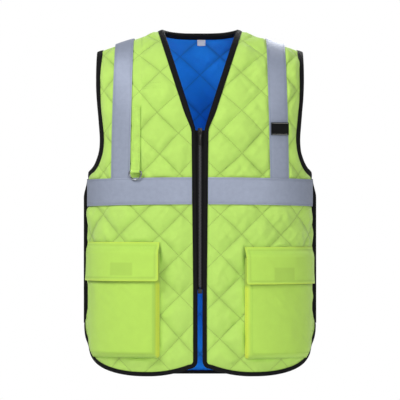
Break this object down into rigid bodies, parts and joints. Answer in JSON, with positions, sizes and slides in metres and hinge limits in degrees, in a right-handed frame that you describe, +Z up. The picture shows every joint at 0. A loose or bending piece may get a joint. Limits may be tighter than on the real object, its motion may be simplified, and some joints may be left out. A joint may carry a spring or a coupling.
{
  "type": "cooling vest",
  "caption": "Sleeveless zip-front work vest, worn form, with quilted shell and lining, bound edges, reflective tapes, bellows pockets with flaps, a D ring and a radio tab.",
  "frame": {"origin": "midway between the shoulder seams, at the height of their neck ends, where the vest rests on its wearer", "axes": "+Z up, the wearer faces -Y, +X is the wearer's left"},
  "size_m": [0.4288, 0.2611, 0.6508],
  "materials": {
    "shell_cloth": "quilted matt polyester, lime",
    "lining_cloth": "quilted matt polyester, blue",
    "binding_cloth": "ribbed black binding tape",
    "reflective_tape": "silver-grey reflective tape, satin",
    "zip_cloth": "black woven zip tape",
    "zip_plastic": "moulded zip teeth",
    "zip_metal": "black enamel on die-cast slider",
    "pocket_cloth": "plain matt polyester, lime",
    "tab_cloth": "black webbing",
    "strap_cloth": "plain matt polyester, lime",
    "ring_metal": "bright nickel",
    "label_cloth": "white woven label"
  },
  "bodies": {
    "vest": {"shell_back": "shell_cloth", "shell_front_left": "shell_cloth", "shell_front_right": "shell_cloth", "lining_back": "lining_cloth", "lining_front_left": "lining_cloth", "lining_front_right": "lining_cloth", "binding_neck": "binding_cloth", "binding_hem_back": "binding_cloth", "tape_back": "reflective_tape", "zip_teeth": "zip_plastic", "zip_box": "zip_plastic", "zip_slider": "zip_metal", "mic_tab": "tab_cloth", "ring_strap": "strap_cloth", "neck_label": "label_cloth", "binding_armhole_right": "binding_cloth", "binding_front_right": "binding_cloth", "binding_side_right": "binding_cloth", "tape_chest_right": "reflective_tape", "tape_shoulder_right": "reflective_tape", "zip_tape_right": "zip_cloth", "pocket_right": "pocket_cloth", "flap_right": "pocket_cloth", "binding_armhole_left": "binding_cloth", "binding_front_left": "binding_cloth", "binding_side_left": "binding_cloth", "tape_chest_left": "reflective_tape", "tape_shoulder_left": "reflective_tape", "zip_tape_left": "zip_cloth", "pocket_left": "pocket_cloth", "flap_left": "pocket_cloth"},
    "zip_pull": {"zip_pull": "zip_metal"},
    "d_ring": {"d_ring": "ring_metal"}
  },
  "joints": [
    {"name": "zip_pull_swing", "type": "hinge", "parent": "vest", "child": "zip_pull", "pos_m": [0, -0.12795, -0.1885], "axis": [-1, 0, 0], "range_deg": [0, 150]},
    {"name": "d_ring_swing", "type": "hinge", "parent": "vest", "child": "d_ring", "pos_m": [-0.11964, -0.11935, -0.262], "axis": [-0.9529, 0.3034, 0], "range_deg": [0, 150]}
  ]
}
